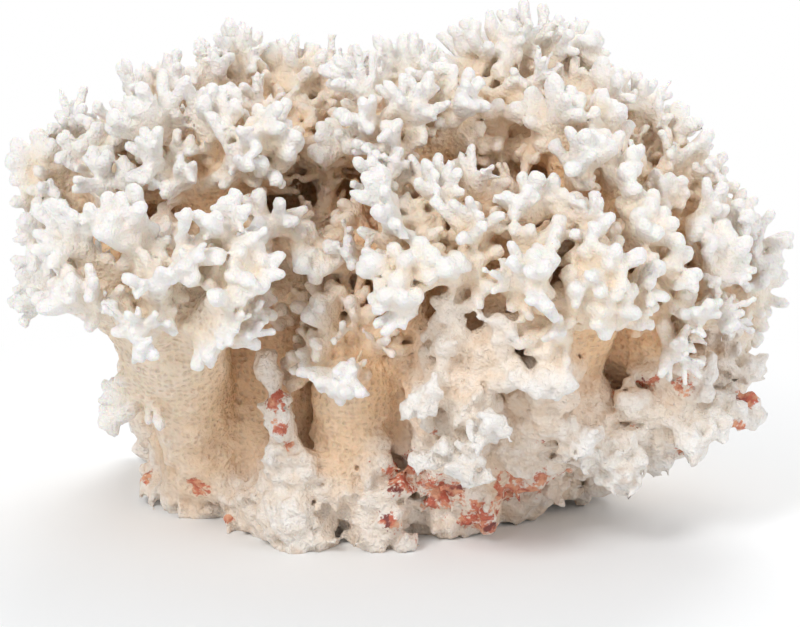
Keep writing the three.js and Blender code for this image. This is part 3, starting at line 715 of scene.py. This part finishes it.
def piece_surface(index):
    """A piece's share of the colony, as points in samples of the whole field and faces."""
    box, own = own_fields[index]
    others = np.where(owner[box] == index, second[box], best[box])
    border = own - others
    field = colony[box] + SEAM_SINK * np.maximum(border, 0) ** 2
    field = np.maximum(field, border - SEAM_OVERLAP)
    field = np.maximum(field, -axes[2][box[2]][None, None, :])
    for i in range(3):
        ends = [slice(None)] * 3
        for end in (0, -1):
            ends[i] = end
            field[tuple(ends)] = np.maximum(field[tuple(ends)], 1.0)
    points, faces = without_specks(*surface_net(without_pinches(field)))
    return points + np.array([s.start for s in box]), faces


def make_object(piece, points, faces, share):
    """One piece's object, with its faces thinned out where it is smooth."""
    mesh = bpy.data.meshes.new(piece.name + "_look")
    mesh.from_pydata(((low + points * VOXEL) * TO_METRES).tolist(), [], faces.tolist())
    look = bpy.data.objects.new(piece.name + "_look", mesh)
    bpy.context.collection.objects.link(look)
    thinned = look.modifiers.new("thinned", "DECIMATE")
    thinned.ratio = share
    evaluated = look.evaluated_get(bpy.context.evaluated_depsgraph_get())
    look.data = bpy.data.meshes.new_from_object(evaluated)
    look.modifiers.clear()
    bpy.data.meshes.remove(mesh)
    mesh = look.data
    mesh.name = piece.name + "_look"
    mesh.polygons.foreach_set("use_smooth", [True] * len(mesh.polygons))
    metres = np.empty(len(mesh.vertices) * 3)
    mesh.vertices.foreach_get("co", metres)
    plan = metres.reshape(-1, 3) / TO_METRES
    red = np.zeros(len(plan))
    for x, y, z, radius, strength in RED_PLACES:
        away = np.sqrt(((plan - (x, y, z)) ** 2 * (1, 0.35, 1)).sum(axis=1))
        red = np.maximum(red, strength * np.clip(1.6 - away / radius, 0, 1))
    points = (plan - low) / VOXEL
    values = {
        "crowding_shade": sample(crowding_shade, points),
        "oldness": sample(oldness, points),
        "depth_glow": sample(depth_glow, points),
        "crust": sample(crust, points),
        "red": red,
    }
    for name, numbers in values.items():
        mesh.attributes.new(name, "FLOAT", "POINT").data.foreach_set("value", numbers.astype(np.float32))
    return look


# ---- Materials ----------------------------------------------------------------------------

TIP_WHITE = (0.94, 0.92, 0.90)
# Painted shade: the cream laid where the fingers crowd together.
SHADE_CREAM = (0.92, 0.80, 0.66)
# Partly the old stems' own tan and partly a painted glow deep inside the colony.
OLD_STEM_AND_GLOW_TAN = (0.93, 0.645, 0.40)
CHALK = (0.94, 0.915, 0.88)
DULL_CHALK = (0.86, 0.775, 0.69)
# Painted shade in the middle of each cup.
PIT_SHADE_BROWN = (0.62, 0.44, 0.30)
BRICK_RED = (0.60, 0.13, 0.07)
PINK = (0.83, 0.40, 0.24)
DARK_RED = (0.23, 0.035, 0.03)
STAIN_BROWN = (0.62, 0.46, 0.34)

# How fine each pattern is, in waves a metre.
STAIN_WAVES = 210
DARK_RED_WAVES = 260
CHALK_WAVES = 300
PATCH_WAVES = 340
PINK_WAVES = 420
COARSE_WAVES = 620
GLOSS_WAVES = 900
CRUMB_WAVES = 1300
GRAIN_WAVES = 1500

CUP_DEPTH = 0.0005
GRAIN_DEPTH = 0.0006
LIGHT_REACH = (0.0060, 0.0032, 0.0017)  # how far red, green and blue light run under the skin


class Skin:
    """A new material's nodes. Each call adds a node and gives back its output."""

    def __init__(self, name):
        self.material = bpy.data.materials.new(name)
        self.material.use_nodes = True
        self.nodes = self.material.node_tree.nodes
        self.links = self.material.node_tree.links
        self.nodes.clear()
        self.place = self.node("ShaderNodeTexCoord").outputs["Object"]

    def node(self, kind, **settings):
        made = self.nodes.new(kind)
        for key, value in settings.items():
            setattr(made, key, value)
        return made

    def reach(self, source, low_in, high_in, low_out=0.0, high_out=1.0):
        made = self.node("ShaderNodeMapRange", interpolation_type="SMOOTHSTEP")
        self.links.new(source, made.inputs[0])
        for socket, value in zip(made.inputs[1:5], (low_in, high_in, low_out, high_out)):
            socket.default_value = value
        return made.outputs[0]

    def maths(self, operation, a, b):
        made = self.node("ShaderNodeMath", operation=operation)
        for socket, value in zip(made.inputs, (a, b)):
            if isinstance(value, (int, float)):
                socket.default_value = value
            else:
                self.links.new(value, socket)
        return made.outputs[0]

    def plus(self, a, b):
        return self.maths("ADD", a, b)

    def minus(self, a, b):
        return self.maths("SUBTRACT", a, b)

    def times(self, a, b):
        return self.maths("MULTIPLY", a, b)

    def mix(self, factor, a, b):
        made = self.node("ShaderNodeMix", data_type="RGBA")
        self.links.new(factor, made.inputs[0])
        for socket, value in ((made.inputs[6], a), (made.inputs[7], b)):
            if isinstance(value, tuple):
                socket.default_value = (*value, 1)
            else:
                self.links.new(value, socket)
        return made.outputs[2]

    def attribute(self, attribute_name):
        return self.node("ShaderNodeAttribute", attribute_name=attribute_name).outputs["Fac"]

    def noise(self, waves, detail=3.0):
        made = self.node("ShaderNodeTexNoise")
        self.links.new(self.place, made.inputs["Vector"])
        made.inputs["Scale"].default_value = waves
        made.inputs["Detail"].default_value = detail
        return made.outputs[0]


def cup_walls(skin):
    """0 in the middle of each cup, rising towards its wall."""
    cups = skin.node("ShaderNodeTexVoronoi", feature="F1")
    skin.links.new(skin.place, cups.inputs["Vector"])
    cups.inputs["Scale"].default_value = 1 / CUP_SPACING
    cups.inputs["Randomness"].default_value = 0.55
    return skin.reach(cups.outputs["Distance"], 0.05, 0.60)


def clean_colour(skin, crowding_shade, depth_glow, aged):
    """White tips, painted shade in cream between them where the fingers crowd, and warm stems deep inside
    that are partly the old stems' own tan and partly a painted glow.
    """
    # Painted shade: cream where the coral crowds round a place.
    shaded_cream = skin.mix(skin.reach(crowding_shade, 0.15, 0.50), TIP_WHITE, SHADE_CREAM)
    # Painted warm glow deep inside the colony, laid only where the coral is old, so partly the old stems'
    # own tan.
    aged_glow = skin.times(skin.reach(depth_glow, 0.20, 0.45), skin.reach(aged, 0.0, 1.0, 0.45, 1.0))
    return skin.mix(aged_glow, shaded_cream, OLD_STEM_AND_GLOW_TAN)


def chalked(skin, body, crust):
    """Chalk over the crusted parts."""
    chalk = skin.mix(skin.reach(skin.noise(CHALK_WAVES), 0.38, 0.66), CHALK, DULL_CHALK)
    return skin.mix(skin.times(crust, 0.72), body, chalk)


def shaded_cups(skin, body, crust, aged, wall):
    """Painted shade in the cups: browner cup middles on the old stems, and fainter ones where they are
    crusted.
    """
    bare = skin.minus(1.0, skin.times(crust, 0.85))
    pit_shade = skin.times(skin.minus(1.0, wall), skin.times(aged, bare))
    return skin.mix(skin.times(pit_shade, 0.40), body, PIT_SHADE_BROWN)


def reddened(skin, body, red):
    """Ragged patches of red and pink crust."""
    crumbs = skin.times(skin.minus(skin.noise(CRUMB_WAVES), 0.5), 0.7)
    broken = skin.plus(skin.minus(skin.noise(PATCH_WAVES), 0.5), crumbs)
    patch = skin.reach(skin.plus(red, skin.times(broken, 1.9)), 0.62, 0.92)
    blush = skin.mix(skin.reach(skin.noise(PINK_WAVES), 0.40, 0.62), BRICK_RED, PINK)
    blush = skin.mix(skin.reach(skin.noise(DARK_RED_WAVES), 0.56, 0.66), blush, DARK_RED)
    return skin.mix(skin.times(patch, 0.94), body, blush)


def stained(skin, body, crust):
    """Brown stains on the crust."""
    stain = skin.times(skin.reach(skin.noise(STAIN_WAVES), 0.60, 0.72), skin.times(crust, 0.45))
    return skin.mix(stain, body, STAIN_BROWN)


def cup_bump(skin, wall, old, crust):
    bump = skin.node("ShaderNodeBump")
    bump.inputs["Distance"].default_value = CUP_DEPTH
    bump.inputs["Strength"].default_value = 0.75
    bare = skin.minus(1.0, skin.times(crust, 0.7))
    raised = skin.times(skin.reach(old, 0.15, 0.75, 0.25, 1.0), bare)
    skin.links.new(skin.times(wall, raised), bump.inputs["Height"])
    return bump.outputs[0]


def grain_bump(skin, under, crust):
    bump = skin.node("ShaderNodeBump")
    bump.inputs["Distance"].default_value = GRAIN_DEPTH
    bump.inputs["Strength"].default_value = 1.0
    coarse = skin.times(skin.noise(COARSE_WAVES, 2.0), skin.times(crust, 2.2))
    skin.links.new(skin.plus(skin.noise(GRAIN_WAVES, 5.0), coarse), bump.inputs["Height"])
    skin.links.new(under, bump.inputs["Normal"])
    return bump.outputs[0]


def coral_material(name):
    skin = Skin(name)
    wall = cup_walls(skin)
    old = skin.attribute("oldness")
    crust = skin.attribute("crust")
    aged = skin.reach(old, 0.15, 0.85)
    body = clean_colour(skin, skin.attribute("crowding_shade"), skin.attribute("depth_glow"), aged)
    body = chalked(skin, body, crust)
    body = shaded_cups(skin, body, crust, aged, wall)
    body = reddened(skin, body, skin.attribute("red"))
    body = stained(skin, body, crust)

    shader = skin.node("ShaderNodeBsdfPrincipled")
    skin.links.new(body, shader.inputs["Base Color"])
    gloss = skin.reach(skin.noise(GLOSS_WAVES), 0.3, 0.7, 0.58, 0.86)
    skin.links.new(gloss, shader.inputs["Roughness"])
    shader.inputs["Specular IOR Level"].default_value = 0.32
    skin.links.new(skin.reach(crust, 0.0, 0.7, 0.34, 0.06), shader.inputs["Subsurface Weight"])
    shader.inputs["Subsurface Radius"].default_value = LIGHT_REACH
    bumped = grain_bump(skin, cup_bump(skin, wall, old, crust), crust)
    skin.links.new(bumped, shader.inputs["Normal"])
    output = skin.node("ShaderNodeOutputMaterial")
    skin.links.new(shader.outputs[0], output.inputs["Surface"])
    return skin.material


materials = {slot: coral_material(slot + "_skin") for slot in ("coral", "crust")}
surfaces = [piece_surface(index) for index in range(len(pieces))]
share = min(1.0, MOST_FACES / sum(len(faces) for points, faces in surfaces))
for piece, (points, faces) in zip(pieces, surfaces):
    look = make_object(piece, points, faces, share)
    look.data.materials.append(materials[piece.slot])
    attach(look, "root")
    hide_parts(piece.name)

# ---- Stage --------------------------------------------------------------------------------


def floor_material():
    """Pale near the coral and white further off."""
    material = bpy.data.materials.new("pale_floor")
    material.use_nodes = True
    nodes, links = material.node_tree.nodes, material.node_tree.links
    surface = nodes["Principled BSDF"]
    surface.inputs["Base Color"].default_value = (0.92, 0.945, 0.97, 1)
    surface.inputs["Roughness"].default_value = 0.8
    surface.inputs["Specular IOR Level"].default_value = 0.15
    place = nodes.new("ShaderNodeTexCoord")
    away = nodes.new("ShaderNodeVectorMath")
    away.operation = "LENGTH"
    links.new(place.outputs["Object"], away.inputs[0])
    fade = nodes.new("ShaderNodeMapRange")
    fade.interpolation_type = "SMOOTHSTEP"
    links.new(away.outputs["Value"], fade.inputs[0])
    fade.inputs[1].default_value = 0.06
    fade.inputs[2].default_value = 0.19
    white = nodes.new("ShaderNodeEmission")
    white.inputs["Color"].default_value = (1, 1, 1, 1)
    mixed = nodes.new("ShaderNodeMixShader")
    links.new(fade.outputs[0], mixed.inputs[0])
    links.new(surface.outputs[0], mixed.inputs[1])
    links.new(white.outputs[0], mixed.inputs[2])
    links.new(mixed.outputs[0], nodes["Material Output"].inputs["Surface"])
    return material


bpy.ops.mesh.primitive_plane_add(size=8)
floor = bpy.context.object
floor.name = "floor"
floor.data.materials.append(floor_material())


def area_light(name, place, target, size, power, colour):
    data = bpy.data.lights.new(name, "AREA")
    data.shape = "DISK"
    data.size = size
    data.energy = power
    data.color = colour
    light = bpy.data.objects.new(name, data)
    light.location = place
    light.rotation_euler = (Vector(target) - Vector(place)).to_track_quat("-Z", "Y").to_euler()
    bpy.context.collection.objects.link(light)


area_light("key", (-0.55, -0.85, 0.85), (0, 0, 0.05), 0.50, 7.6, (1, 0.985, 0.965))
area_light("fill", (0.75, -0.60, 0.55), (0, 0, 0.05), 0.8, 3.0, (0.985, 0.985, 1))
area_light("back", (0.15, 0.75, 0.80), (0, 0, 0.06), 0.7, 6.0, (1, 0.985, 0.96))

world = bpy.data.worlds.new("studio")
world.use_nodes = True
world.node_tree.nodes["Background"].inputs["Color"].default_value = (1, 1, 1, 1)
world.node_tree.nodes["Background"].inputs["Strength"].default_value = 0.48
bpy.context.scene.world = world
bpy.context.scene.view_settings.view_transform = "Standard"

CAMERA_RISE = math.radians(13)
CAMERA_AIM = (-0.5, 0, 55)
CAMERA_DISTANCE = 900
aim = Vector(CAMERA_AIM) * TO_METRES
away = CAMERA_DISTANCE * TO_METRES
camera_data = bpy.data.cameras.new("camera")
camera_data.lens = 152
camera_data.sensor_width = 36
camera_data.dof.use_dof = False
camera = bpy.data.objects.new("camera", camera_data)
camera.location = aim + Vector((0, -math.cos(CAMERA_RISE), math.sin(CAMERA_RISE))) * away
camera.rotation_euler = (aim - camera.location).to_track_quat("-Z", "Y").to_euler()
bpy.context.collection.objects.link(camera)
bpy.context.scene.camera = camera
